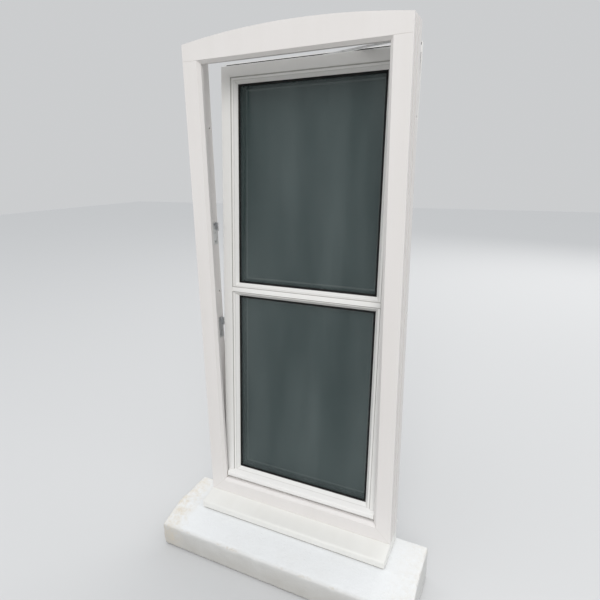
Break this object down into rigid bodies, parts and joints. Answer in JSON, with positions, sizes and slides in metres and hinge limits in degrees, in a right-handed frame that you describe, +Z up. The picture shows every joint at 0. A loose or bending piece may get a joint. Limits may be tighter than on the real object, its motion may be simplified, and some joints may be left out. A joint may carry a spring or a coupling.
{
  "type": "tilt-and-turn sash window",
  "caption": "White uPVC window with an arched head: a two-pane sash that tips in from the bottom or turns on its side, on a plastic and a stone sill.",
  "frame": {"origin": "middle of the stone sill's underside, in the plane of the frame's outer face", "axes": "+X to the right seen from outside, +Y into the room, +Z up"},
  "size_m": [0.76, 0.3252, 1.4354],
  "materials": {
    "white_upvc": "smooth white extrusion",
    "white_cap": "moulded white cap",
    "painted_stone": "stone with white masonry paint",
    "black_rubber": "matt extruded rubber",
    "galvanised_steel": "galvanised",
    "zinc_hardware": "silver zinc plate",
    "spacer_bar": "mill-finish spacer bar",
    "outer_glass": "clear float glass",
    "inner_glass": "dark grey-green glass",
    "packer_plastic": "moulded packer",
    "white_bracket": "white powder coat",
    "white_handle": "white powder coat"
  },
  "bodies": {
    "frame": {"outer_frame": "white_upvc", "frame_head": "white_upvc", "frame_reinforcement": "galvanised_steel", "frame_gasket": "black_rubber", "pvc_sill": "white_upvc", "sill_end_cap_left": "white_cap", "sill_end_cap_right": "white_cap", "stone_sill": "painted_stone", "pivot_bearing": "white_bracket", "stay_bearing": "white_bracket", "tilt_keep": "zinc_hardware", "lock_keep_lower": "zinc_hardware", "lock_keep_upper": "zinc_hardware"},
    "corner_pivot": {"corner_pivot": "zinc_hardware"},
    "stay_arm": {"stay_arm": "zinc_hardware"},
    "sash": {"sash_frame": "white_upvc", "sash_reinforcement": "galvanised_steel", "mid_rail": "white_upvc", "sash_gasket": "black_rubber", "glazing_packers": "packer_plastic", "hinge_band": "white_bracket", "stay_rail": "zinc_hardware", "foot_plate": "zinc_hardware", "corner_drive": "zinc_hardware", "weather_bar": "white_upvc", "lock_faceplate": "zinc_hardware", "gearbox": "zinc_hardware", "handle_rose": "white_handle", "rose_screws": "zinc_hardware", "lower_bead_bottom": "white_upvc", "lower_bead_left": "white_upvc", "lower_bead_right": "white_upvc", "lower_bead_top": "white_upvc", "lower_glazing_gasket": "black_rubber", "lower_pane_inner": "inner_glass", "lower_pane_outer": "outer_glass", "lower_spacer": "spacer_bar", "upper_bead_bottom": "white_upvc", "upper_bead_left": "white_upvc", "upper_bead_right": "white_upvc", "upper_bead_top": "white_upvc", "upper_glazing_gasket": "black_rubber", "upper_pane_inner": "inner_glass", "upper_pane_outer": "outer_glass", "upper_spacer": "spacer_bar"},
    "handle": {"handle_lever": "white_handle", "handle_spindle": "zinc_hardware", "lock_pinion": "zinc_hardware"},
    "lock_rod": {"lock_rod": "zinc_hardware", "lock_cams": "zinc_hardware"},
    "foot_bolt": {"foot_bolt": "zinc_hardware"}
  },
  "joints": [
    {"name": "turn", "type": "hinge", "parent": "frame", "child": "corner_pivot", "pos_m": [0.2795, 0.08, 0.16], "axis": [0, 0, -1], "range_deg": [0, 90]},
    {"name": "tilt", "type": "hinge", "parent": "corner_pivot", "child": "sash", "pos_m": [0.2795, 0.08, 0.16], "axis": [-1, 0, 0], "range_deg": [-4.32, 0]},
    {"name": "stay_swing", "type": "hinge", "parent": "corner_pivot", "child": "stay_arm", "pos_m": [0.2795, 0.08, 1.382], "axis": [0, 0, -1], "range_deg": [-21.15, 0]},
    {"name": "handle_turn", "type": "hinge", "parent": "sash", "child": "handle", "pos_m": [-0.23509, 0.12591, 0.68804], "axis": [0, 0.9972, -0.0753], "range_deg": [0, 180]},
    {"name": "lock_slide", "type": "slide", "parent": "sash", "child": "lock_rod", "axis": [0, 0.0753, 0.9972], "range_m": [0, 0.02801]},
    {"name": "foot_slide", "type": "slide", "parent": "sash", "child": "foot_bolt", "axis": [-1, 0, 0], "range_m": [0, 0.02801]}
  ],
  "couplings": [
    {"joint": "stay_swing", "follows": "tilt", "ratio": 4.8948},
    {"joint": "lock_slide", "follows": "handle_turn", "m_per_rad": 0.0089127},
    {"joint": "foot_slide", "follows": "handle_turn", "m_per_rad": 0.0089127}
  ]
}
